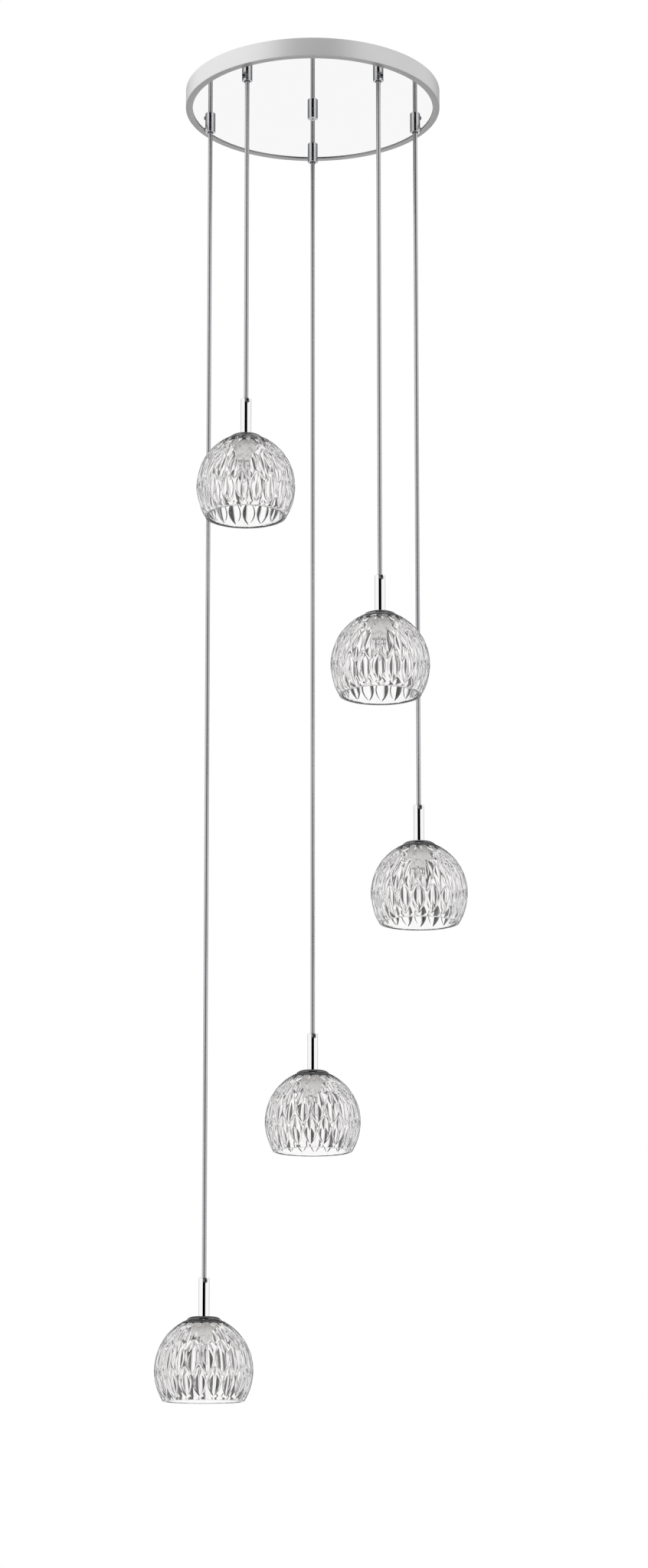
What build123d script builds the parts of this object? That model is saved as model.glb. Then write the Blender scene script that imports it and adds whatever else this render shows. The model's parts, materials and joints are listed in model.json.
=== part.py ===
from build123d import *
import math
import os

# Cluster pendant: five cut-glass shades on cords below a round canopy with a
# mirror plate. Millimetres. +Z is up and the origin is the centre of the face
# that lies on the ceiling, so the whole light hangs below Z = 0. The near side
# is -Y. Pendants are numbered from the highest to the lowest.

# ---------------------------------------------------------------- dimensions
# Canopy: a rolled band with an inward lip, and the plate that lies on the lip
canopy_diameter = 350.0
canopy_height = 25.0
band_wall = 1.2
lip_width = 9.4
lip_thickness = 1.2
plate_thickness = 1.5
plate_edge_gap = 0.3

# Spring clips that hold the plate down on the lip
clip_count = 5
clip_thickness = 1.2
clip_width = 14.0
clip_foot = 9.0
clip_height = 12.0
clip_wall_gap = 0.25

# Ceiling bracket: a flat strap with two slots and a tapped boss
bracket_length = 180.0
bracket_width = 30.0
bracket_thickness = 2.0
bracket_corner = 4.0
ceiling_screw_spacing = 120.0
ceiling_slot_length = 18.0
ceiling_slot_width = 5.2
boss_diameter = 16.0
boss_height = 10.0
earth_screw_place = 32.0
earth_screw_diameter = 4.0
earth_head_diameter = 8.0
earth_head_height = 2.6

# Threaded rod in the middle, its lock nut and the cap nut below the plate
rod_diameter = 10.0
rod_recess = 0.5
rod_hole_clearance = 0.2
thread_gap = 0.05
lock_nut_flats = 16.0
lock_nut_height = 4.0
cap_nut_floor = 3.5
cap_nut_hole = 3.0

# Cord grips: a ring of five through the plate
pendant_count = 5
first_grip_angle = 234.0
grip_inset = 25.0
grip_diameter = 14.0
grip_length = 14.0
grip_edge = 0.5
grip_thread_diameter = 10.0
grip_thread_above_nut = 2.0
grip_mouth_diameter = 9.0
grip_mouth_depth = 3.4
washer_diameter = 18.0
washer_thickness = 1.0
grip_nut_flats = 14.0
grip_nut_height = 3.0
grip_screw_above_mouth = 5.6
screw_slot_width = 0.7

# Button-head screws that pinch a cord, alike in the grips and the stems
pinch_screw_diameter = 3.0
pinch_head_diameter = 6.4
pinch_socket_flats = 2.5
pinch_socket_depth = 1.8
pinch_seat_depth = 0.8
pinch_seat_gap = 0.2

# Cords
cord_diameter = 6.0
cord_gap = 0.3
tail_bend_radius = 8.0
tail_turn_radius = 26.0
tail_height = 8.0
tail_entry_offset = 13.0

# Terminal block on the plate, inside the canopy
block_centre_y = 44.0
block_length = 64.0
block_width = 24.0
block_below_ceiling = 3.0
block_screw_count = 5
block_screw_pitch = 11.0
block_screw_diameter = 5.0
block_screw_height = 5.0
block_well_diameter = 6.0
block_well_depth = 8.0

# Stem under each cord, with its side screw
stem_top_depths = (485.0, 727.0, 998.0, 1293.0, 1634.0)
stem_diameter = 14.0
stem_length = 50.6
stem_edge = 0.4
stem_socket_depth = 16.0
stem_wire_bore = 5.0
stem_spigot_diameter = 10.0
stem_spigot_length = 8.0
stem_screw_below_top = 3.6
stem_screw_angle = -77.0

# Dished cap between the stem and the glass
cap_diameter = 44.6
cap_flat_diameter = 28.0
cap_height = 4.4
cap_thickness = 1.0
cap_edge_height = 0.8
cap_hole_gap = 0.2

# Glass shade, measured up from its rim
shade_widest_radius = 65.0
shade_widest_height = 41.0
shade_rim_radius = 53.0
shade_seat_radius = 23.0
shade_seat_height = 106.6
shade_wall = 4.5
shade_neck_radius = 14.0

# Leaf cuts in the glass: three rows of shallow grooves with pointed ends
leaves_per_row = 20
upper_leaf_height = 87.0
upper_leaf_depth = 1.5
upper_leaf_width = 13.0
middle_leaf_height = 54.0
middle_leaf_depth = 2.6
middle_leaf_width = 18.4
lower_leaf_height = 22.5
lower_leaf_depth = 2.1
lower_leaf_width = 17.0
outer_rows_turn = -2.5
cutter_reach = 1.45

# Lamp holder, its shade ring and the lamp
holder_diameter = 26.0
holder_length = 26.0
holder_edge = 0.6
holder_socket_diameter = 15.4
holder_socket_depth = 4.0
holder_wire_bore = 4.0
pin_hole_depth = 9.0
ring_diameter = 40.0
ring_thickness = 4.0
ring_notches = 4
ring_notch_width = 5.0
ring_notch_depth = 2.0
ring_gap = 0.1
lamp_base_diameter = 14.8
lamp_base_length = 11.0
lamp_base_gap = 0.3
lamp_glass_diameter = 13.0
lamp_glass_length = 30.0
lamp_pin_spacing = 9.0
lamp_pin_diameter = 2.4
lamp_pin_length = 8.0
pin_gap = 0.1

# ----------------------------------------------------------- derived heights
plate_underside = -canopy_height + lip_thickness
plate_top = plate_underside + plate_thickness
grip_circle_radius = canopy_diameter / 2 - grip_inset
grip_mouth = plate_underside - grip_length
grip_mouth_top = grip_mouth + grip_mouth_depth
grip_nut_top = plate_top + washer_thickness + grip_nut_height
grip_thread_top = grip_nut_top + grip_thread_above_nut
grip_screw_height = grip_mouth + grip_screw_above_mouth
boss_bottom = -bracket_thickness - boss_height
tail_level = -tail_height
block_top = -block_below_ceiling

cord_radius = cord_diameter / 2
cord_bore = cord_diameter + 2 * cord_gap
cord_top = grip_mouth + cord_radius
tail_bottom = cord_top + cord_gap

# Heights of one pendant, measured up from the rim of its shade
cap_top = shade_seat_height + cap_height
stem_top = cap_top + stem_length
stem_screw_height = stem_top - stem_screw_below_top
cord_bottom = stem_top - stem_socket_depth
glass_underside = shade_seat_height - shade_wall
holder_top = cap_top - cap_thickness
holder_bottom = holder_top - holder_length
socket_floor = holder_bottom + holder_socket_depth
lamp_top = socket_floor - lamp_base_gap
lamp_base_bottom = lamp_top - lamp_base_length
lamp_bottom = lamp_base_bottom - lamp_glass_length
rim_heights = [-depth - stem_top for depth in stem_top_depths]


# ------------------------------------------------------------------- helpers
def turned(diameter, bottom, top):
    """An upright cylinder on the Z axis between two heights."""
    base = (Align.CENTER, Align.CENTER, Align.MIN)
    return Pos(0, 0, bottom) * Cylinder(diameter / 2, top - bottom, align=base)


def across(diameter, inner, outer, height):
    """A cylinder along +X at a height, between two distances from the Z axis."""
    base = (Align.CENTER, Align.CENTER, Align.MIN)
    return Pos(inner, 0, height) * Rot(0, 90, 0) * Cylinder(diameter / 2, outer - inner, align=base)


def block(length, width, bottom, top):
    """A box centred on the Z axis between two heights."""
    base = (Align.CENTER, Align.CENTER, Align.MIN)
    return Pos(0, 0, bottom) * Box(length, width, top - bottom, align=base)


def nut(flats, bore, bottom, top):
    """A hexagon nut on the Z axis."""
    hexagon = RegularPolygon(flats / 2, 6, major_radius=False)
    return Pos(0, 0, bottom) * extrude(hexagon, top - bottom) - turned(bore, bottom, top)


def pinch_screw(body_diameter, height):
    """A screw along +X from the cord's bore out through a round body: a shank and a domed head."""
    seat = body_diameter / 2 - pinch_seat_depth
    half_ball = Sphere(pinch_head_diameter / 2, arc_size1=0, align=(Align.CENTER, Align.CENTER, Align.MIN))
    dome = Pos(seat, 0, height) * Rot(0, 90, 0) * half_ball
    top = Plane(origin=(seat + pinch_head_diameter / 2, 0, height), z_dir=(-1, 0, 0))
    socket = extrude(top * RegularPolygon(pinch_socket_flats / 2, 6, major_radius=False), pinch_socket_depth)
    return across(pinch_screw_diameter, cord_bore / 2, seat, height) + dome - socket


def pinch_screw_cut(body_diameter, height):
    """The tapped hole of a pinch screw and the flat seat of its head, to cut from a round body."""
    hole = across(pinch_screw_diameter + 2 * thread_gap, 0, body_diameter, height)
    seat = across(pinch_head_diameter + 2 * pinch_seat_gap, body_diameter / 2 - pinch_seat_depth,
                  body_diameter, height)
    return hole + seat


def at_grip(index):
    """The place of a cord grip: its own +X points outwards from the middle of the canopy."""
    angle = first_grip_angle + index * 360 / pendant_count
    return Rot(0, 0, angle) * Pos(grip_circle_radius, 0, 0)


def at_pendant(index):
    """The place of a pendant: the rim plane of its shade, unturned."""
    centre = at_grip(index).position
    return Pos(centre.X, centre.Y, rim_heights[index])


def group(pieces):
    """Separate solids kept together as one sub-part."""
    return Compound([solid for piece in pieces for solid in piece.solids()])


# ------------------------------------------------------- canopy and fixings
def ceiling_bracket():
    strap = extrude(RectangleRounded(bracket_length, bracket_width, bracket_corner), -bracket_thickness)
    boss = turned(boss_diameter, boss_bottom, -bracket_thickness)
    slot = extrude(SlotOverall(ceiling_slot_length, ceiling_slot_width), -bracket_thickness)
    slots = [Pos(side * ceiling_screw_spacing / 2, 0, 0) * slot for side in (-1, 1)]
    tapped = turned(rod_diameter + 2 * thread_gap, boss_bottom, 0)
    earth = Pos(earth_screw_place, 0, 0) * turned(
        earth_screw_diameter + 2 * thread_gap, -bracket_thickness, 0)
    return strap + boss - slots - tapped - earth


def earth_screw():
    shank = turned(earth_screw_diameter, -bracket_thickness, -rod_recess)
    head = turned(earth_head_diameter, -bracket_thickness - earth_head_height, -bracket_thickness)
    slot = block(earth_head_diameter, screw_slot_width,
                 -bracket_thickness - earth_head_height, -bracket_thickness - earth_head_height / 2)
    return Pos(earth_screw_place, 0, 0) * (shank + head - slot)


def centre_rod():
    return turned(rod_diameter, grip_mouth + cap_nut_floor, -rod_recess)


def lock_nut():
    return nut(lock_nut_flats, rod_diameter + 2 * thread_gap, boss_bottom - lock_nut_height, boss_bottom)


def centre_cap():
    cap = turned(grip_diameter, grip_mouth, plate_underside)
    cap = chamfer(cap.edges().group_by(Axis.Z)[0], grip_edge)
    cap -= turned(rod_diameter + 2 * thread_gap, grip_mouth + cap_nut_floor, plate_underside)
    return cap - turned(cap_nut_hole, grip_mouth, grip_mouth + cap_nut_floor)


def canopy_band():
    shell = turned(canopy_diameter, -canopy_height, 0)
    shell -= turned(canopy_diameter - 2 * band_wall, plate_underside, 0)
    return shell - turned(canopy_diameter - 2 * lip_width, -canopy_height, plate_underside)


def canopy_plate():
    diameter = canopy_diameter - 2 * (band_wall + plate_edge_gap)
    plate = turned(diameter, plate_underside, plate_top)
    plate -= turned(rod_diameter + 2 * rod_hole_clearance, plate_underside, plate_top)
    hole = turned(grip_thread_diameter + 2 * rod_hole_clearance, plate_underside, plate_top)
    return plate - [at_grip(index) * hole for index in range(pendant_count)]


def plate_clips():
    wall_radius = canopy_diameter / 2 - band_wall
    back = math.sqrt((wall_radius - clip_wall_gap) ** 2 - (clip_width / 2) ** 2)
    foot_top = plate_top + clip_thickness
    foot = Pos(back - clip_foot / 2, 0, 0) * block(clip_foot, clip_width, plate_top, foot_top)
    leg = Pos(back - clip_thickness / 2, 0, 0) * block(
        clip_thickness, clip_width, foot_top, plate_top + clip_height)
    clip = foot + leg
    half_step = 180 / clip_count
    turns = [first_grip_angle + half_step + index * 360 / clip_count for index in range(clip_count)]
    return group([Rot(0, 0, turn) * clip for turn in turns])


def cord_grip(index):
    body = turned(grip_diameter, grip_mouth, plate_underside)
    body = chamfer(body.edges().group_by(Axis.Z)[0], grip_edge)
    body += turned(grip_thread_diameter, plate_underside, grip_thread_top)
    body -= turned(cord_bore, grip_mouth, grip_thread_top)
    body -= turned(grip_mouth_diameter, grip_mouth, grip_mouth_top)
    body -= pinch_screw_cut(grip_diameter, grip_screw_height)
    return at_grip(index) * body


def grip_washers():
    washer = turned(washer_diameter, plate_top, plate_top + washer_thickness)
    washer -= turned(grip_thread_diameter + 2 * rod_hole_clearance, plate_top, plate_top + washer_thickness)
    return group([at_grip(index) * washer for index in range(pendant_count)])


def grip_nuts():
    bore = grip_thread_diameter + 2 * thread_gap
    hexagon = nut(grip_nut_flats, bore, plate_top + washer_thickness, grip_nut_top)
    return group([at_grip(index) * hexagon for index in range(pendant_count)])


def grip_screws():
    screw = pinch_screw(grip_diameter, grip_screw_height)
    return group([at_grip(index) * screw for index in range(pendant_count)])


def terminal_block():
    housing = block(block_length, block_width, plate_top, block_top)
    well = turned(block_well_diameter, block_top - block_well_depth, block_top)
    return Pos(0, block_centre_y, 0) * (housing - [place * well for place in block_screw_places()])


def block_screw_places():
    middle = (block_screw_count - 1) / 2
    return [Pos((index - middle) * block_screw_pitch, 0, 0) for index in range(block_screw_count)]


def terminal_screws():
    floor = block_top - block_well_depth
    screw = turned(block_screw_diameter, floor, floor + block_screw_height)
    slot = block(block_screw_diameter, screw_slot_width,
                 floor + block_screw_height / 2, floor + block_screw_height)
    place = Pos(0, block_centre_y, 0)
    return group([place * spot * (screw - slot) for spot in block_screw_places()])


def tail_route(index):
    """Corner points of a cord inside the canopy, from its grip to a face of the terminal block."""
    grip = at_grip(index).position
    start = (grip.X, grip.Y, tail_bottom)
    corner = (grip.X, grip.Y, tail_level)
    side = math.copysign(1, grip.X)
    if grip.Y < 0:
        entry = side * tail_entry_offset
        near_face = block_centre_y - block_width / 2
        return [start, corner, (entry, -bracket_width, tail_level), (entry, near_face, tail_level)]
    if abs(grip.X) < cord_diameter:
        return [start, corner, (grip.X, block_centre_y + block_width / 2, tail_level)]
    return [start, corner, (side * block_length / 2, grip.Y, tail_level)]


def cord_tails():
    tails = []
    for index in range(pendant_count):
        route = tail_route(index)
        radii = [tail_bend_radius, tail_turn_radius][:len(route) - 2]
        path = FilletPolyline(*route, radius=radii)
        profile = Plane(origin=path @ 0, z_dir=path % 0) * Circle(cord_radius)
        tail = sweep(profile, path=path)
        share = tail.volume / (math.pi * cord_radius ** 2 * path.length)
        print(f"tail {index + 1}: length {path.length:.1f}, radii {radii}, volume share {share:.4f}")
        tails.append(tail)
    return group(tails)


# ------------------------------------------------------------------ pendants
def cord(index):
    """The hanging cord: round top in the grip's mouth, lower end inside the stem."""
    bottom = rim_heights[index] + cord_bottom
    tube = turned(cord_diameter, bottom, grip_mouth) + Pos(0, 0, grip_mouth) * Sphere(cord_radius)
    centre = at_grip(index).position
    return Pos(centre.X, centre.Y, 0) * tube


def stem():
    rod = turned(stem_diameter, cap_top, stem_top)
    rod = chamfer(rod.edges().group_by(Axis.Z)[-1], stem_edge)
    rod += turned(stem_spigot_diameter, cap_top - stem_spigot_length, cap_top)
    rod -= turned(cord_bore, cord_bottom - cord_gap, stem_top)
    rod -= turned(stem_wire_bore, cap_top - stem_spigot_length, stem_top)
    return rod - Rot(0, 0, stem_screw_angle) * pinch_screw_cut(stem_diameter, stem_screw_height)


def stem_screw():
    return Rot(0, 0, stem_screw_angle) * pinch_screw(stem_diameter, stem_screw_height)


def cap():
    """A spun dish: flat in the middle, curving down to an edge that stands on the glass."""
    hole = stem_spigot_diameter / 2 + cap_hole_gap
    flat = cap_flat_diameter / 2
    edge = cap_diameter / 2
    edge_top = shade_seat_height + cap_edge_height
    top = [(hole, cap_top), (flat, cap_top), (edge, edge_top), (edge, shade_seat_height)]
    under = [(edge - cap_thickness, shade_seat_height), (edge - cap_thickness, edge_top - cap_thickness / 2),
             (flat, holder_top), (hole, holder_top)]
    line = (Line(top[0], top[1]) + TangentArc(top[1], top[2], tangent=(1, 0)) + Line(top[2], top[3])
            + Line(top[3], under[0]) + Line(under[0], under[1])
            + TangentArc(under[2], under[1], tangent=(1, 0)) + Line(under[2], under[3])
            + Line(under[3], top[0]))
    return revolve(Plane.XZ * make_face(line), Axis.Z)


def bulge(end_radius, rise):
    """Radius of the arc that leaves the widest point upright and ends at a radius after a rise."""
    inset = shade_widest_radius - end_radius
    return (inset ** 2 + rise ** 2) / (2 * inset)


upper_bulge = bulge(shade_seat_radius, shade_seat_height - shade_widest_height)
lower_bulge = bulge(shade_rim_radius, shade_widest_height)


def glass_radius(height, inset=0.0):
    """Radius of the glass at a height, on its outer face or at an inset below it."""
    rise = height - shade_widest_height
    bow = upper_bulge if rise > 0 else lower_bulge
    return shade_widest_radius - bow + math.sqrt((bow - inset) ** 2 - rise ** 2)


def leaf_cutter(height, depth, width):
    """A shallow V-shaped bar along the glass profile at +X, which cuts one leaf."""
    rise = height - shade_widest_height
    bow = upper_bulge if rise > 0 else lower_bulge
    radius = glass_radius(height)
    drop = (width / 2) ** 2 / (2 * radius)
    slope = (depth - drop) / (width / 2)
    half_width = width / 2 * cutter_reach + depth / slope
    half_length = math.sqrt(2 * bow * depth) * cutter_reach
    top = slope * half_width - depth
    section = make_face(Polyline((0, -depth), (half_width, top), (-half_width, top), close=True))
    tilt = math.degrees(math.asin(rise / bow))
    upright = extrude(Plane(origin=(0, 0, 0), x_dir=(0, 1, 0), z_dir=(0, 0, 1)) * section,
                      half_length, both=True)
    outwards = Rot(0, 0, 180) * upright
    return Pos(radius, 0, height) * Rot(0, -tilt, 0) * outwards


def shade():
    """A thick bell of glass, open below, with a flat seat and a neck hole at the top."""
    widest = (shade_widest_radius, shade_widest_height)
    seat = (shade_seat_radius, shade_seat_height)
    rim = (shade_rim_radius, 0)
    inner_rim = (glass_radius(0, shade_wall), 0)
    inner_widest = (shade_widest_radius - shade_wall, shade_widest_height)
    inner_seat = (glass_radius(glass_underside, shade_wall), glass_underside)
    neck = (shade_neck_radius, shade_seat_height)
    inner_neck = (shade_neck_radius, glass_underside)
    line = (TangentArc(widest, seat, tangent=(0, 1)) + Line(seat, neck) + Line(neck, inner_neck)
            + Line(inner_neck, inner_seat) + TangentArc(inner_widest, inner_seat, tangent=(0, 1))
            + TangentArc(inner_widest, inner_rim, tangent=(0, -1)) + Line(inner_rim, rim)
            + TangentArc(widest, rim, tangent=(0, -1)))
    bell = revolve(Plane.XZ * make_face(line), Axis.Z)
    step = 360 / leaves_per_row
    rows = ((upper_leaf_height, upper_leaf_depth, upper_leaf_width, outer_rows_turn),
            (middle_leaf_height, middle_leaf_depth, middle_leaf_width, outer_rows_turn + step / 2),
            (lower_leaf_height, lower_leaf_depth, lower_leaf_width, outer_rows_turn))
    for height, depth, width, turn in rows:
        cutter = leaf_cutter(height, depth, width)
        bell -= [Rot(0, 0, turn + index * step - 90) * cutter for index in range(leaves_per_row)]
    return bell


def shade_ring():
    bottom = glass_underside - ring_thickness
    ring = turned(ring_diameter, bottom, glass_underside)
    ring -= turned(holder_diameter + 2 * ring_gap, bottom, glass_underside)
    notch = Pos(ring_diameter / 2, 0, 0) * block(2 * ring_notch_depth, ring_notch_width,
                                                 bottom, glass_underside)
    return ring - [Rot(0, 0, index * 360 / ring_notches) * notch for index in range(ring_notches)]


def pin_places():
    return [Pos(side * lamp_pin_spacing / 2, 0, 0) for side in (-1, 1)]


def lamp_holder():
    body = turned(holder_diameter, holder_bottom, holder_top)
    body = chamfer(body.edges().group_by(Axis.Z)[0], holder_edge)
    body -= turned(stem_spigot_diameter + 2 * thread_gap, cap_top - stem_spigot_length, holder_top)
    body -= turned(holder_wire_bore, socket_floor, holder_top)
    body -= turned(holder_socket_diameter, holder_bottom, socket_floor)
    pin_hole = turned(lamp_pin_diameter + 2 * pin_gap, socket_floor, socket_floor + pin_hole_depth)
    return body - [place * pin_hole for place in pin_places()]


def lamp():
    """A two-pin capsule lamp: base, round-ended glass and pins in one piece."""
    half_glass = lamp_glass_diameter / 2
    body = turned(lamp_base_diameter, lamp_base_bottom, lamp_top)
    body += turned(lamp_glass_diameter, lamp_bottom + half_glass, lamp_base_bottom)
    body += Pos(0, 0, lamp_bottom + half_glass) * Sphere(half_glass)
    pin = turned(lamp_pin_diameter, lamp_top, lamp_top + lamp_pin_length)
    for place in pin_places():
        body += place * pin
    return body


# -------------------------------------------------------------------- output
def canopy_parts():
    parts = {
        "ceiling_bracket": ceiling_bracket(),
        "earth_screw": earth_screw(),
        "centre_rod": centre_rod(),
        "lock_nut": lock_nut(),
        "centre_cap": centre_cap(),
        "canopy_band": canopy_band(),
        "canopy_plate": canopy_plate(),
        "plate_clips": plate_clips(),
        "grip_washers": grip_washers(),
        "grip_nuts": grip_nuts(),
        "grip_screws": grip_screws(),
        "terminal_block": terminal_block(),
        "terminal_screws": terminal_screws(),
        "cord_tails": cord_tails(),
    }
    for index in range(pendant_count):
        parts[f"cord_grip_{index + 1}"] = cord_grip(index)
        parts[f"cord_{index + 1}"] = cord(index)
    return parts


def pendant_parts():
    pieces = {
        "stem": stem(),
        "stem_screw": stem_screw(),
        "cap": cap(),
        "shade": shade(),
        "shade_ring": shade_ring(),
        "lamp_holder": lamp_holder(),
        "lamp": lamp(),
    }
    parts = {}
    for index in range(pendant_count):
        for name, piece in pieces.items():
            parts[f"{name}_{index + 1}"] = at_pendant(index) * piece
    return parts


os.makedirs("parts", exist_ok=True)
for name, piece in {**canopy_parts(), **pendant_parts()}.items():
    export_step(piece, f"parts/{name}.step")
print("rim heights", [round(height, 1) for height in rim_heights])
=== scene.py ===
import json
import math
import bpy
import bmesh
from mathutils import Matrix, Vector


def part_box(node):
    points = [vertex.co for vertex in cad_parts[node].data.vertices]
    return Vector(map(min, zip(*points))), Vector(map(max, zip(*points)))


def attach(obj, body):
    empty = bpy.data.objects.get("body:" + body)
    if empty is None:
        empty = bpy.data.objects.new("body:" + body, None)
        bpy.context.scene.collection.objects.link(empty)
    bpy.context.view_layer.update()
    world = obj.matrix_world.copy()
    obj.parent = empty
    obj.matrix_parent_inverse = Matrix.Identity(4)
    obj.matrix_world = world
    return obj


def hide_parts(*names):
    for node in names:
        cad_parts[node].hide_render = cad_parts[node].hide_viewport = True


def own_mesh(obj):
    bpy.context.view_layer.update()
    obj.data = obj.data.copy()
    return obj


# Cluster pendant: five cut-glass bells on cords below a round canopy with a mirror plate.
# Places are in metres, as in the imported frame; sizes in the dictionaries are in millimetres.

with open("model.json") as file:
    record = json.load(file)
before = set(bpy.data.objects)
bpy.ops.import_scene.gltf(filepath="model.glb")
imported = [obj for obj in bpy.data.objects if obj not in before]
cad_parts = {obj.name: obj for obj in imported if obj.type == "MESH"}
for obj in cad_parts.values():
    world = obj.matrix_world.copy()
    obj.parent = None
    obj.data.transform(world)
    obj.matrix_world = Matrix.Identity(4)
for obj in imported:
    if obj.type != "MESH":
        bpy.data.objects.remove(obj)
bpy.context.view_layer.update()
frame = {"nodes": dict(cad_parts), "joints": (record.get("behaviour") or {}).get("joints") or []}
nodes = frame["nodes"]
joints = {joint["name"]: joint for joint in frame["joints"]}
pendants = range(1, 6)
mm = 0.001
smoothTurn = 35            # degrees; edges whose faces turn by more stay sharp
sharpTurn = 40             # degrees; edges whose faces turn by more can be rounded
halfTurn = 180             # degrees
weldDistance = 1e-7        # m
levelTolerance = 1e-6      # m
print("frame loaded")


def srgb(hexText):
    # written colour to linear
    parts = [int(hexText[i:i + 2], 16) / 255 for i in (1, 3, 5)]
    linear = [p / 12.92 if p <= 0.04045 else ((p + 0.055) / 1.055) ** 2.4 for p in parts]
    return (*linear, 1.0)


def addNode(tree, kind, inputs=None, **settings):
    # one node, its settings, its values and its links
    node = tree.nodes.new(kind)
    for name, value in settings.items():
        setattr(node, name, value)
    for socket, value in (inputs or {}).items():
        if isinstance(value, bpy.types.NodeSocket):
            tree.links.new(value, node.inputs[socket])
        else:
            node.inputs[socket].default_value = value
    return node


def maths(tree, operation, *values):
    # the result of one Math node
    return addNode(tree, "ShaderNodeMath", dict(enumerate(values)), operation=operation).outputs[0]


def blend(tree, factor, first, second):
    # two numbers mixed by a factor
    return addNode(tree, "ShaderNodeMix", {0: factor, 2: first, 3: second}).outputs[0]


def blendColours(tree, factor, first, second):
    mix = addNode(tree, "ShaderNodeMix", {"Factor": factor, 6: first, 7: second}, data_type="RGBA")
    return mix.outputs[2]


def newMaterial(name):
    material = bpy.data.materials.new(name)
    material.use_nodes = True
    tree = material.node_tree
    tree.nodes.clear()
    return material, tree


def finishMaterial(tree, inputs):
    shader = addNode(tree, "ShaderNodeBsdfPrincipled", inputs)
    addNode(tree, "ShaderNodeOutputMaterial", {"Surface": shader.outputs[0]})


def dress(obj, material):
    obj.data.materials.clear()
    obj.data.materials.append(material)


def centreOf(node):
    low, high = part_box(node)
    return Vector(((low[0] + high[0]) / 2, (low[1] + high[1]) / 2, 0))


def smoothFaces(mesh):
    for face in mesh.polygons:
        face.use_smooth = True


def bmeshToMesh(bm, name, materials, smoothAngle=smoothTurn):
    mesh = bpy.data.meshes.new(name)
    bm.to_mesh(mesh)
    bm.free()
    smoothFaces(mesh)
    mesh.set_sharp_from_angle(angle=math.radians(smoothAngle))
    for material in materials:
        mesh.materials.append(material)
    return mesh


def addPiece(name, mesh, body=None, replaced=None):
    # an object whose place is in its mesh, and what it stands for in the frame
    piece = bpy.data.objects.new(name, mesh)
    bpy.context.scene.collection.objects.link(piece)
    if replaced:
        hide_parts(replaced)
    if body:
        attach(piece, body)
    return piece


def latheBmesh(profile, steps):
    # profile is a closed outline of (radius, height) points in mm; spun once round Z
    bm = bmesh.new()
    verts = [bm.verts.new((radius * mm, 0, height * mm)) for radius, height in profile]
    edges = [bm.edges.new((verts[i - 1], verts[i])) for i in range(len(verts))]
    bmesh.ops.spin(bm, geom=verts + edges, cent=(0, 0, 0), axis=(0, 0, 1), dvec=(0, 0, 0),
                   angle=math.tau, steps=steps, use_merge=True)
    bmesh.ops.remove_doubles(bm, verts=bm.verts, dist=weldDistance)
    bmesh.ops.recalc_face_normals(bm, faces=bm.faces)
    return bm


def isSharp(edge):
    return edge.calc_face_angle(0) > math.radians(sharpTurn)


def roundEdges(bm, edges, width, segments):
    bmesh.ops.bevel(bm, geom=edges, offset=width * mm, offset_type="OFFSET", affect="EDGES",
                    segments=segments, profile=0.5, material=-1)


def easeEdges(bm, width):
    # rounds every sharp edge a little
    roundEdges(bm, [edge for edge in bm.edges if edge.is_manifold and isSharp(edge)], width, 2)


cameraPlan = {"distance": 4.5, "height": -2.02, "pitch": 9.91, "lens": 79.38,
              "shiftX": 0.0072, "shiftY": 0.12, "longSide": 36.0, "clipEnd": 60}


def setCamera():
    data = bpy.data.cameras.new("camera")
    data.sensor_width = cameraPlan["longSide"]
    data.lens = cameraPlan["lens"]
    data.shift_x = cameraPlan["shiftX"]
    data.shift_y = cameraPlan["shiftY"]
    data.clip_end = cameraPlan["clipEnd"]
    camera = bpy.data.objects.new("camera", data)
    camera.location = (0, -cameraPlan["distance"], cameraPlan["height"])
    camera.rotation_euler = (math.radians(90 + cameraPlan["pitch"]), 0, 0)
    bpy.context.scene.collection.objects.link(camera)
    bpy.context.scene.camera = camera


studio = {
    "white": "#ffffff",
    "fill": 0.80,              # what the tent gives to matt surfaces
    "inBell": 1.3,             # what it gives to those inside the glass
    "floorHeight": -12.0,      # m
    "floorSize": 80.0,
    "floor": "#f4f4f2",
    "floorGrain": "#efefec",
    "floorGlow": 0.9,          # share of the floor that shows as plain white to the camera
    "keyPower": 260.0,         # W
    "keyPlace": (-3.4, -3.2, 2.6),
    "keySize": 2.6,
    "keyAim": (0, 0, -0.8),
    # dark cards hung round the white tent: (degrees from straight behind, level of light);
    # polished metal sees one set in the tent and one on the floor, and cut glass one that repeats
    "metalCards": ((0, 1.0), (4.5, 1.0), (5.5, 0.12), (38, 0.35), (42, 1.0), (148, 1.0),
                   (151, 0.0)),
    "floorCards": ((0, 1.0), (12, 1.0), (16, 0.2), (50, 0.2), (78, 0.26), (100, 0.6), (115, 0.9),
                   (148, 1.0), (152, 0.0)),
    "glassCards": ((0, 1.0), (5.0, 1.0), (6.0, 0.02), (12.5, 0.15), (14.0, 1.0)),
    "glassRepeat": 45,
    # a darker ceiling card comes in between these heights, in degrees
    "ceilingFrom": 33, "ceilingTo": 45, "ceilingLevel": 0.35,
}


def toneRamp(tree, angle, stops, reach):
    # level of light along a ramp of (degrees, level) stops
    ramp = addNode(tree, "ShaderNodeValToRGB", {0: maths(tree, "DIVIDE", angle, math.radians(reach))})
    marks = ramp.color_ramp.elements
    marks.remove(marks[1])
    for index, (degrees, level) in enumerate(stops):
        mark = marks[0] if index == 0 else marks.new(degrees / reach)
        mark.position = degrees / reach
        mark.color = (level, level, level, 1)
    return ramp.outputs[0]


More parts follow.
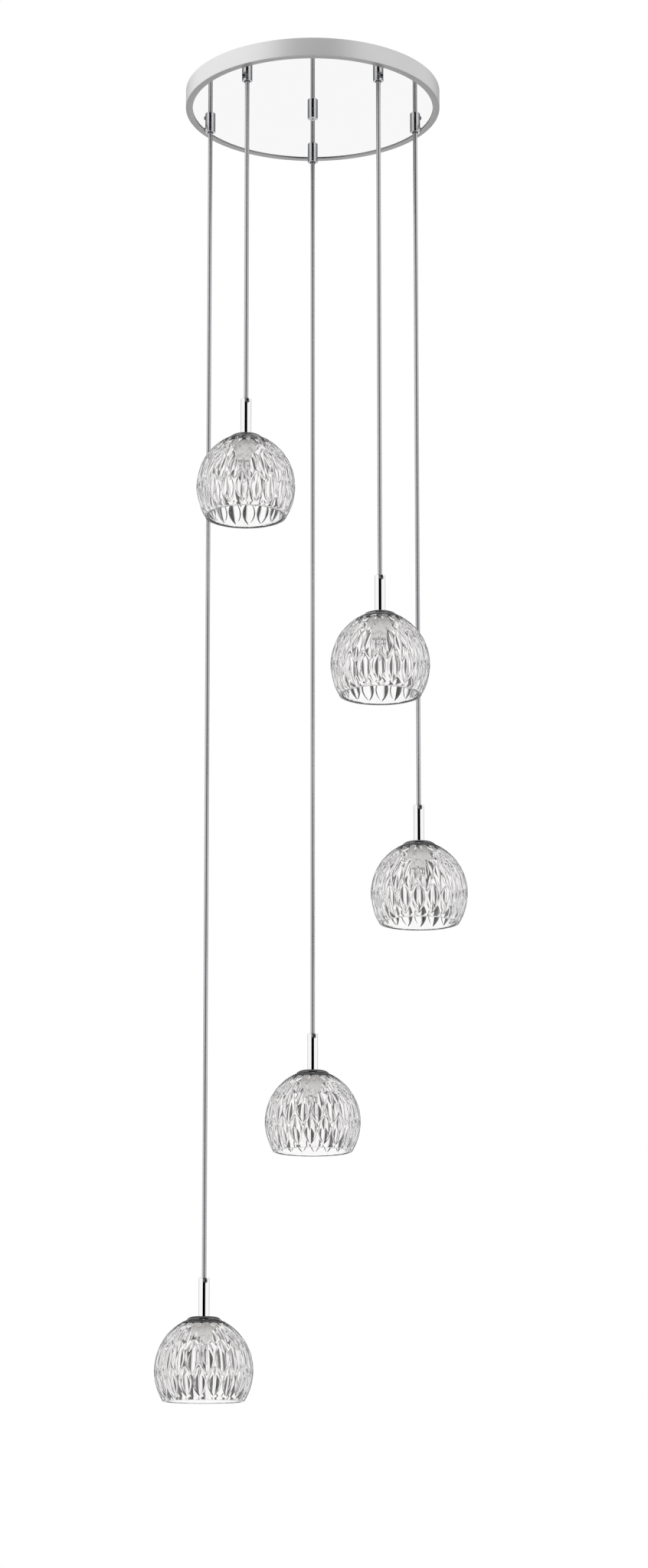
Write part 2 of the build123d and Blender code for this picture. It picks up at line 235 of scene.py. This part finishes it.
def tentLevels(tree, direction, cards):
    # light that comes from a direction: as polished metal sees it, and as cut glass sees it
    axes = addNode(tree, "ShaderNodeSeparateXYZ", {0: direction}).outputs
    side = maths(tree, "ABSOLUTE", maths(tree, "ARCTAN2", axes[0], axes[1]))
    half = studio["glassRepeat"] / 2
    folded = maths(tree, "PINGPONG", side, math.radians(half))
    metal = toneRamp(tree, side, studio[cards], halfTurn)
    glass = toneRamp(tree, folded, studio["glassCards"], half)
    low, high = [math.sin(math.radians(studio[key])) for key in ("ceilingFrom", "ceilingTo")]
    ceiling = addNode(tree, "ShaderNodeMapRange",
                      {"Value": axes[2], "From Min": low, "From Max": high},
                      interpolation_type="SMOOTHSTEP")
    return blend(tree, ceiling.outputs[0], metal, studio["ceilingLevel"]), glass


def pickLevel(tree, camera, metal, glass, other, inBell):
    # the level for the ray that asks; a ray through glass counts as both glossy and transmitted.
    # inBell is what a matt piece inside the glass gets, where the key light doesn't reach
    path = addNode(tree, "ShaderNodeLightPath").outputs
    fromMatt = maths(tree, "GREATER_THAN", path["Diffuse Depth"], 0.5)
    throughGlass = blend(tree, fromMatt, glass, inBell)
    level = other
    for ray, value in (("Is Camera Ray", camera), ("Is Glossy Ray", metal),
                       ("Is Transmission Ray", throughGlass)):
        level = blend(tree, path[ray], level, value)
    return level


def setWorld():
    world = bpy.data.worlds.new("whiteTent")
    world.use_nodes = True
    world.cycles.sampling_method = "NONE"
    bpy.context.scene.world = world
    tree = world.node_tree
    tree.nodes.clear()
    direction = addNode(tree, "ShaderNodeTexCoord").outputs["Generated"]
    metal, glass = tentLevels(tree, direction, "metalCards")
    level = pickLevel(tree, 1.0, metal, glass, studio["fill"], studio["inBell"])
    tent = addNode(tree, "ShaderNodeBackground",
                   {"Color": srgb(studio["white"]), "Strength": level})
    addNode(tree, "ShaderNodeOutputWorld", {"Surface": tent.outputs[0]})


def floorMaterial():
    # painted studio floor: matt, near white, keeps a soft shadow
    material, tree = newMaterial("studioFloor")
    grain = addNode(tree, "ShaderNodeTexNoise", {"Scale": 3.0, "Detail": 3.0})
    tone = blendColours(tree, grain.outputs[0], srgb(studio["floor"]), srgb(studio["floorGrain"]))
    matt = addNode(tree, "ShaderNodeBsdfDiffuse", {"Color": tone})
    place = addNode(tree, "ShaderNodeTexCoord").outputs["Object"]
    metal, glass = tentLevels(tree, place, "floorCards")
    level = pickLevel(tree, 1.0, metal, glass, 0.0, studio["inBell"])
    glow = addNode(tree, "ShaderNodeEmission", {"Color": srgb(studio["white"]), "Strength": level})
    share = pickLevel(tree, studio["floorGlow"], 1.0, 1.0, 0.0, 1.0)
    mix = addNode(tree, "ShaderNodeMixShader", {0: share, 1: matt.outputs[0], 2: glow.outputs[0]})
    addNode(tree, "ShaderNodeOutputMaterial", {"Surface": mix.outputs[0]})
    return material


def setStudio():
    bm = bmesh.new()
    bmesh.ops.create_grid(bm, x_segments=1, y_segments=1, size=studio["floorSize"] / 2)
    floor = addPiece("studioFloor", bmeshToMesh(bm, "studioFloor", [floorMaterial()]))
    floor.location.z = studio["floorHeight"]
    lamp = bpy.data.lights.new("softbox", "AREA")
    lamp.energy = studio["keyPower"]
    lamp.size = studio["keySize"]
    box = bpy.data.objects.new("softbox", lamp)
    box.location = studio["keyPlace"]
    aim = Vector(studio["keyAim"]) - box.location
    box.rotation_euler = aim.to_track_quat("-Z", "Y").to_euler()
    box.visible_glossy = False
    box.visible_transmission = False
    box.visible_camera = False
    bpy.context.scene.collection.objects.link(box)


setCamera()
setWorld()
setStudio()
print("camera and studio set")

finishes = {
    "chrome": "#f6f6f7",
    "gripChrome": "#d6d7da",
    "capChrome": "#78797c",
    "screwChrome": "#77787b",
    "satin": "#d8d8d8",
    # the lip's tone is painted shade: the band's own lacquer, darkened where the lip faces down
    "lip": "#b9b9ba",
    "mirror": "#f7f7f7",
    "zinc": "#b9bbba",
    # near white, much paler than zinc plate: painted light on the shade ring, which sits where little
    # light reaches inside the glass
    "ringZincPaintedLight": "#f2f2f0",
    "spring": "#8f9092",
    "brass": "#c9a65a",
    "nylon": "#efeee8",
    "steatite": "#f4f4f2",
    "braid": "#bcbcbf",
    "braidShade": "#aeaeb2",
    "glass": "#fffefe",
    "quartz": "#fdfdfd",
    "tungsten": "#6f6a64",
}


def objectPoint(tree):
    return addNode(tree, "ShaderNodeTexCoord").outputs["Object"]


def darker(colour, share):
    return tuple(share * c for c in colour[:3]) + (1.0,)


def wornRoughness(tree, scale, low, high):
    # roughness that wanders over the surface, as fingers and polish leave it
    noise = addNode(tree, "ShaderNodeTexNoise", {"Vector": objectPoint(tree), "Scale": scale,
                                                 "Detail": 4.0})
    spread = addNode(tree, "ShaderNodeMapRange", {"Value": noise.outputs[0], "To Min": low,
                                                  "To Max": high})
    return spread.outputs[0]


def chromePlate(name, colour, low, high, scale):
    # nickel-chrome plate over polished steel: a hard mirror with faint polishing haze
    material, tree = newMaterial(name)
    finishMaterial(tree, {"Base Color": srgb(colour), "Metallic": 1.0,
                          "Roughness": wornRoughness(tree, scale, low, high)})
    return material


def satinLacquer(name, colour, metallic, low, high):
    # metallic lacquer on rolled steel: soft wide highlights, fine grain round the band
    material, tree = newMaterial(name)
    stretch = addNode(tree, "ShaderNodeMapping",
                      {"Vector": objectPoint(tree), "Scale": (60, 60, 2400)})
    grain = addNode(tree, "ShaderNodeTexNoise", {"Vector": stretch.outputs[0], "Scale": 1.0,
                                                 "Detail": 3.0})
    bump = addNode(tree, "ShaderNodeBump", {"Height": grain.outputs[0], "Strength": 0.06,
                                            "Distance": 0.0002})
    finishMaterial(tree, {"Base Color": srgb(colour), "Metallic": metallic,
                          "Roughness": wornRoughness(tree, 30, low, high),
                          "Normal": bump.outputs[0]})
    return material


def speckled(name, colour, low, high, scale, metallic=1.0):
    # small hidden steel and brass parts: plated or turned, with a speckled dulling
    material, tree = newMaterial(name)
    noise = addNode(tree, "ShaderNodeTexNoise", {"Vector": objectPoint(tree), "Scale": scale,
                                                 "Detail": 5.0})
    base = srgb(colour)
    tone = blendColours(tree, noise.outputs[0], darker(base, 0.7), base)
    finishMaterial(tree, {"Base Color": tone, "Metallic": metallic,
                          "Roughness": wornRoughness(tree, scale, low, high)})
    return material


def moulded(name, colour, roughness, speck):
    # moulded nylon or pressed steatite: matt, with a fine pebbled skin
    material, tree = newMaterial(name)
    noise = addNode(tree, "ShaderNodeTexNoise", {"Vector": objectPoint(tree), "Scale": speck,
                                                 "Detail": 3.0})
    base = srgb(colour)
    tone = blendColours(tree, noise.outputs[0], darker(base, 0.88), base)
    bump = addNode(tree, "ShaderNodeBump", {"Height": noise.outputs[0], "Strength": 0.15,
                                            "Distance": 0.0001})
    finishMaterial(tree, {"Base Color": tone, "Roughness": roughness, "Normal": bump.outputs[0]})
    return material


def clearGlass(name, colour, ior):
    # clear glass, polished: hardly any tint, all its greys are the tent's cards bent by the cuts
    material, tree = newMaterial(name)
    finishMaterial(tree, {"Base Color": srgb(colour), "Roughness": 0.0, "IOR": ior,
                          "Transmission Weight": 1.0})
    return material


braid = {"turns": 12, "pitch": 7.0}      # strands round the cord, mm of cord for one turn


def sheathedBraid():
    # clear PVC sheath over a tinned copper braid: grey metal weave under a glossy skin
    material, tree = newMaterial("clearSheathOverTinnedBraid")
    uv = addNode(tree, "ShaderNodeUVMap")
    axes = addNode(tree, "ShaderNodeSeparateXYZ", {"Vector": uv.outputs[0]}).outputs
    lean = maths(tree, "MULTIPLY", axes[1], math.tau * braid["turns"])
    climb = maths(tree, "MULTIPLY", axes[0], math.tau * 1000 / braid["pitch"] * 2)
    # strands that wind both ways round the cord
    waves = [maths(tree, "SINE", maths(tree, way, lean, climb)) for way in ("ADD", "SUBTRACT")]
    weave = maths(tree, "MAXIMUM", *waves)
    level = addNode(tree, "ShaderNodeMapRange", {"Value": weave, "From Min": -0.6})
    tone = blendColours(tree, level.outputs[0], srgb(finishes["braidShade"]), srgb(finishes["braid"]))
    bump = addNode(tree, "ShaderNodeBump", {"Height": level.outputs[0], "Strength": 0.01,
                                            "Distance": 0.0001})
    finishMaterial(tree, {"Base Color": tone, "Metallic": 0.8, "Roughness": 0.22,
                          "Normal": bump.outputs[0], "Coat Weight": 0.5, "Coat Roughness": 0.05})
    return material


chrome = chromePlate("chromePlate", finishes["chrome"], 0.02, 0.06, 60)
gripChrome = chromePlate("gripChromePlate", finishes["gripChrome"], 0.20, 0.26, 120)
capChrome = chromePlate("capChromePlate", finishes["capChrome"], 0.08, 0.16, 120)
screwMetal = chromePlate("turnedScrewChrome", finishes["screwChrome"], 0.12, 0.25, 400)
mirror = chromePlate("mirrorPolishedStainless", finishes["mirror"], 0.006, 0.022, 12)
satin = satinLacquer("satinLacquer", finishes["satin"], 0.6, 0.40, 0.48)
# a darker copy of the band's lacquer for the turned-in lip: painted shade
lipSatinPaintedShade = satinLacquer("satinLacquerLipPaintedShade", finishes["lip"], 0.6, 0.40, 0.48)
zinc = speckled("zincPlatedSteel", finishes["zinc"], 0.28, 0.42, 180)
# the shade ring's zinc plate made near white and less metallic: painted light for the dim inside of
# the glass
ringZincPaintedLight = speckled("zincPlatePaintedLight", finishes["ringZincPaintedLight"], 0.4, 0.55, 180, 0.2)
spring = speckled("springSteel", finishes["spring"], 0.3, 0.4, 120)
brass = speckled("turnedBrass", finishes["brass"], 0.18, 0.3, 240)
tungsten = speckled("tungstenWire", finishes["tungsten"], 0.35, 0.5, 500)
nylon = moulded("mouldedNylon", finishes["nylon"], 0.5, 900)
steatite = moulded("pressedSteatite", finishes["steatite"], 0.62, 700)
cordSkin = sheathedBraid()
crystal = clearGlass("cutCrystal", finishes["glass"], 1.52)
quartz = clearGlass("clearQuartz", finishes["quartz"], 1.46)
print("materials made")

for name, material in {
        "ceiling_bracket": zinc, "centre_rod": zinc, "lock_nut": zinc, "grip_washers": zinc,
        "grip_nuts": zinc, "earth_screw": brass, "terminal_screws": brass, "plate_clips": spring,
        "terminal_block": nylon, "cord_tails": cordSkin, "grip_screws": screwMetal,
        "centre_cap": gripChrome, "canopy_plate": mirror}.items():
    dress(nodes[name], material)
for i in pendants:
    for name, material in {
            "cord_grip": gripChrome, "stem": chrome, "stem_screw": screwMetal, "cap": capChrome,
            "shade_ring": ringZincPaintedLight, "lamp_holder": steatite}.items():
        dress(nodes[f"{name}_{i}"], material)

bandShape = {
    "wall": 1.2, "lip": 9.4, "lipThickness": 1.2, "turnSteps": 256,
    "rounding": 0.8, "roundingSteps": 4,
    "edgeReach": 1.0,      # how far in from the outside an edge still counts as the outer one
    "lipReach": 0.1,       # how far above the lip a face still counts as the lip's
}


def rolledBand():
    # rolled ring with its lower edge turned in; its rounded edge catches a bright line
    low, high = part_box("canopy_band")
    shape = bandShape
    outer, floor, top = high[0] / mm, low[2] / mm, high[2] / mm
    ledge = floor + shape["lipThickness"]
    lipEnd, wallInside = outer - shape["lip"], outer - shape["wall"]
    profile = [(outer, top), (outer, floor), (lipEnd, floor), (lipEnd, ledge), (wallInside, ledge),
               (wallInside, top)]
    bm = latheBmesh(profile, shape["turnSteps"])
    nearOutside = (outer - shape["edgeReach"]) * mm
    outside = [edge for edge in bm.edges if isSharp(edge)
               and all(abs(v.co.z - floor * mm) < levelTolerance for v in edge.verts)
               and all(math.hypot(v.co.x, v.co.y) > nearOutside for v in edge.verts)]
    roundEdges(bm, outside, shape["rounding"], shape["roundingSteps"])
    # faces of the turned-in lip take the darker copy of the lacquer, as painted shade
    for face in bm.faces:
        middle = face.calc_center_median()
        inside = math.hypot(middle.x, middle.y) < (outer - shape["rounding"]) * mm
        onLip = inside and middle.z < (ledge + shape["lipReach"]) * mm
        face.material_index = 1 if onLip else 0
    mesh = bmeshToMesh(bm, "rolledBand", [satin, lipSatinPaintedShade])
    addPiece("rolledBand", mesh, "canopy", "canopy_band")


rolledBand()
print("canopy band rolled")

# heights above a shade's rim, in mm
shadeShape = {
    "widestRadius": 65.0, "widestHeight": 41.0, "rimRadius": 53.0, "seatRadius": 23.0,
    "seatHeight": 106.6, "wall": 4.5, "neckRadius": 14.0, "rimRounding": 1.2,
    "outerSteps": 118, "innerSteps": 24, "turnSteps": 640,
    "rimTurns": (30, 60, 90),                   # degrees at which the rounded rim has points
    "outsideReach": 0.05,                       # how far in a point still counts as the outside's
    "smoothTurn": 60,
    "leaves": 20,
    # each row: middle height, half length, half width, turn in pitches
    "rows": ((87.0, 15.2, 6.6, 0.0), (54.4, 23.2, 9.3, 0.5), (23.2, 19.6, 8.7, 0.0)),
    "firstTurn": -93.0,
    "ledgeDepth": 0.18, "ledgeWidth": 1.2,      # steep edge of each cut
    "wheels": (80.0, 110.0, 100.0),             # radius of the round-edged wheel of each row
    "keelSlope": 0.09,                          # how fast both sides of a cut run in to its middle
}


def bellRadius(height, inset=0.0):
    # radius of the bell at a height, on its outer face or a wall inside it
    shape = shadeShape
    rise = height - shape["widestHeight"]
    end, reach = ((shape["seatRadius"], shape["seatHeight"] - shape["widestHeight"]) if rise > 0
                  else (shape["rimRadius"], shape["widestHeight"]))
    drop = shape["widestRadius"] - end
    bow = (drop ** 2 + reach ** 2) / (2 * drop)
    return shape["widestRadius"] - bow + math.sqrt((bow - inset) ** 2 - rise ** 2)


def bellProfile():
    # closed outline of the glass wall, from the rim up the outside and back down the inside
    shape = shadeShape
    seat, wall, rounding = shape["seatHeight"], shape["wall"], shape["rimRounding"]
    outer = [rounding + (seat - rounding) * i / shape["outerSteps"]
             for i in range(shape["outerSteps"] + 1)]
    inner = [rounding + (seat - wall - rounding) * i / shape["innerSteps"]
             for i in range(shape["innerSteps"] + 1)]
    points = [(bellRadius(height), height) for height in outer]
    points += [(shape["neckRadius"], seat), (shape["neckRadius"], seat - wall)]
    points += [(bellRadius(height, wall), height) for height in reversed(inner)]
    for turns, inset, way in ((shape["rimTurns"], wall, 1), (shape["rimTurns"][::-1], 0.0, -1)):
        for turn in turns:
            back = rounding * (1 - math.cos(math.radians(turn)))
            height = rounding * (1 - math.sin(math.radians(turn)))
            points.append((bellRadius(rounding, inset) + way * back, height))
    return points


def cutDepth(angle, height, radius):
    # how deep the leaf cuts go at a place on the outside, in mm
    shape = shadeShape
    pitch = math.tau / shape["leaves"]
    deepest = 0.0
    for (middle, halfLength, halfWidth, turn), wheel in zip(shape["rows"], shape["wheels"]):
        along = (height - middle) / halfLength
        if abs(along) >= 1:
            continue
        start = math.radians(shape["firstTurn"]) + turn * pitch
        offset = (angle - start + pitch / 2) % pitch - pitch / 2
        width = halfWidth * (1 - along * along)
        inside = width - abs(offset) * radius
        if inside > 0:
            ledge = min(1.0, inside / shape["ledgeWidth"])
            hollow = (width * width - (width - inside) ** 2) / (2 * wheel)
            keel = shape["keelSlope"] * inside
            deepest = max(deepest, shape["ledgeDepth"] * ledge + hollow + keel)
    return deepest


def carvedBell():
    # the plain bell, with the points of its outside moved in where a cut goes
    shape = shadeShape
    bm = latheBmesh(bellProfile(), shape["turnSteps"])
    bm.normal_update()
    moves = []
    for vert in bm.verts:
        radius = math.hypot(vert.co.x, vert.co.y) / mm
        height = vert.co.z / mm
        if height < shape["rimRounding"] or radius < bellRadius(height) - shape["outsideReach"]:
            continue
        depth = cutDepth(math.atan2(vert.co.y, vert.co.x), height, radius)
        if depth > 0:
            moves.append((vert, vert.normal * (-depth * mm)))
    for vert, move in moves:
        vert.co += move
    return bmeshToMesh(bm, "carvedBell", [crystal], shape["smoothTurn"])


def placeShades():
    bell = carvedBell()
    for i in pendants:
        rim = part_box(f"shade_{i}")[0][2]
        mesh = bell.copy()
        mesh.name = f"glassBell_{i}"
        middle = centreOf(f"shade_{i}")
        mesh.transform(Matrix.Translation((middle.x, middle.y, rim)))
        addPiece(f"glassBell_{i}", mesh, f"pendant_{i}", f"shade_{i}")
    bpy.data.meshes.remove(bell)


placeShades()
print("glass bells carved")

cordShape = {"radius": 3.0, "inMouth": 2.0, "points": 9, "order": 3, "splineSteps": 12,
             "roundSteps": 12}


def straightCurve(name, top, bottom, bevel):
    # a hanging cord's own line from the grip down to the stem, bare or with the cord round it
    data = bpy.data.curves.new(name, "CURVE")
    data.dimensions = "3D"
    count = cordShape["points"]
    spline = data.splines.new("NURBS")
    spline.points.add(count - 1)
    for k in range(count):
        spline.points[k].co = (*top.lerp(bottom, k / (count - 1)), 1)
    spline.order_u = cordShape["order"]
    spline.use_endpoint_u = True
    spline.resolution_u = cordShape["splineSteps"]
    if bevel:
        data.bevel_depth = cordShape["radius"] * mm
        data.bevel_resolution = cordShape["roundSteps"]
        data.use_fill_caps = True
    line = bpy.data.objects.new(name, data)
    bpy.context.scene.collection.objects.link(line)
    bpy.context.view_layer.update()
    mesh = bpy.data.meshes.new_from_object(line)
    bpy.data.objects.remove(line)
    return mesh


def hangCords():
    for i in pendants:
        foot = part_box(f"cord_{i}")[0][2]
        middle = centreOf(f"cord_{i}")
        mouth = joints[f"swing_{i}"]["pos_m"][2]
        top = Vector((middle.x, middle.y, mouth + cordShape["inMouth"] * mm))
        bottom = Vector((middle.x, middle.y, foot))
        path = [vert.co[:] for vert in straightCurve("line", top, bottom, False).vertices]
        mesh = straightCurve(f"hangingCord_{i}", top, bottom, True)
        mesh.name = f"hangingCord_{i}"
        smoothFaces(mesh)
        piece = addPiece(f"hangingCord_{i}", mesh, f"cord_body_{i}", f"cord_{i}")
        dress(piece, cordSkin)
        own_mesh(piece)


hangCords()
print("cords hung")

# lengths in mm; the coil's drop is measured from the top of the base
lampShape = {
    "baseRadius": 7.4, "baseLength": 11.0, "baseEase": 0.6,
    "glassRadius": 6.5, "glassLength": 30.0, "glassWall": 0.9, "endSteps": 8,
    "pinSpacing": 9.0, "pinRadius": 1.2, "pinLength": 8.0, "pinSides": 20, "pinEase": 0.3,
    "coilRadius": 1.1, "coilTurns": 7, "coilLength": 7.0, "coilDrop": 19.0, "pointsPerTurn": 10,
    "leadRise": 3,         # how far above the coil the leads bend
    "wire": 0.32, "steps": 40,
}


def roundedEnd(radius, tip):
    # points of a half-round end, from its equator down to its tip
    count = lampShape["endSteps"]
    turns = [math.pi / 2 * k / count for k in range(count + 1)]
    return [(radius * math.cos(turn), tip + radius - radius * math.sin(turn)) for turn in turns]


def lampBase(below):
    # pressed base with eased edges
    shape = lampShape
    profile = [(0, 0), (shape["baseRadius"], 0), (shape["baseRadius"], below), (0, below)]
    bm = latheBmesh(profile, shape["steps"])
    easeEdges(bm, shape["baseEase"])
    return bm


def lampCapsule(below):
    # hollow capsule, open towards the base
    shape = lampShape
    radius, wall = shape["glassRadius"], shape["glassWall"]
    tip = below - shape["glassLength"]
    outer = [(radius, below)] + roundedEnd(radius, tip)
    inner = roundedEnd(radius - wall, tip + wall)[::-1] + [(radius - wall, below)]
    return latheBmesh(outer + inner, shape["steps"])


def lampPins():
    # two contact pins that stand on the base
    shape = lampShape
    bm = bmesh.new()
    for side in (-1, 1):
        place = Matrix.Translation((side * shape["pinSpacing"] / 2 * mm, 0,
                                    shape["pinLength"] / 2 * mm))
        bmesh.ops.create_cone(bm, cap_ends=True, segments=shape["pinSides"],
                              radius1=shape["pinRadius"] * mm, radius2=shape["pinRadius"] * mm,
                              depth=shape["pinLength"] * mm, matrix=place)
    easeEdges(bm, shape["pinEase"])
    return bm


def filament(below):
    # coiled wire across the capsule, on two leads from the base
    shape = lampShape
    data = bpy.data.curves.new("filament", "CURVE")
    data.dimensions = "3D"
    perTurn = shape["pointsPerTurn"]
    count = shape["coilTurns"] * perTurn
    half = shape["coilLength"] / 2
    drop = -shape["coilDrop"]
    bend = drop + shape["leadRise"]
    points = [(-half, 0, below), (-half, 0, bend)]
    for k in range(count + 1):
        turn = math.tau * k / perTurn
        points.append((shape["coilLength"] * (k / count - 0.5),
                       shape["coilRadius"] * math.sin(turn),
                       drop + shape["coilRadius"] * math.cos(turn)))
    points += [(half, 0, bend), (half, 0, below)]
    spline = data.splines.new("POLY")
    spline.points.add(len(points) - 1)
    for point, place in zip(spline.points, points):
        point.co = (*[c * mm for c in place], 1)
    data.bevel_depth = shape["wire"] / 2 * mm
    data.bevel_resolution = 1
    data.use_fill_caps = True
    wire = bpy.data.objects.new("filament", data)
    bpy.context.scene.collection.objects.link(wire)
    bpy.context.view_layer.update()
    bm = bmesh.new()
    mesh = bpy.data.meshes.new_from_object(wire)
    bm.from_mesh(mesh)
    bpy.data.meshes.remove(mesh)
    bpy.data.objects.remove(wire)
    return bm


def capsuleLamps():
    below = -lampShape["baseLength"]
    for i in pendants:
        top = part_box(f"lamp_{i}")[1][2]
        middle = centreOf(f"lamp_{i}")
        place = Matrix.Translation((middle.x, middle.y, top - lampShape["pinLength"] * mm))
        for name, bm, material, slot in (
                ("lampBase", lampBase(below), steatite, "ceramic"),
                ("lampCapsule", lampCapsule(below), quartz, "lamp_glass"),
                ("lampPins", lampPins(), zinc, "zinc_steel"),
                ("lampFilament", filament(below), tungsten, "spring_steel")):
            mesh = bmeshToMesh(bm, f"{name}_{i}", [material])
            mesh.transform(place)
            addPiece(f"{name}_{i}", mesh, f"lamp_body_{i}", f"lamp_{i}")


capsuleLamps()
print("lamps fitted")

scene = bpy.context.scene
scene.view_settings.view_transform = "Standard"
scene.cycles.max_bounces = 24
scene.cycles.transmission_bounces = 20
scene.cycles.glossy_bounces = 8
scene.cycles.caustics_reflective = False
print("scene finished")
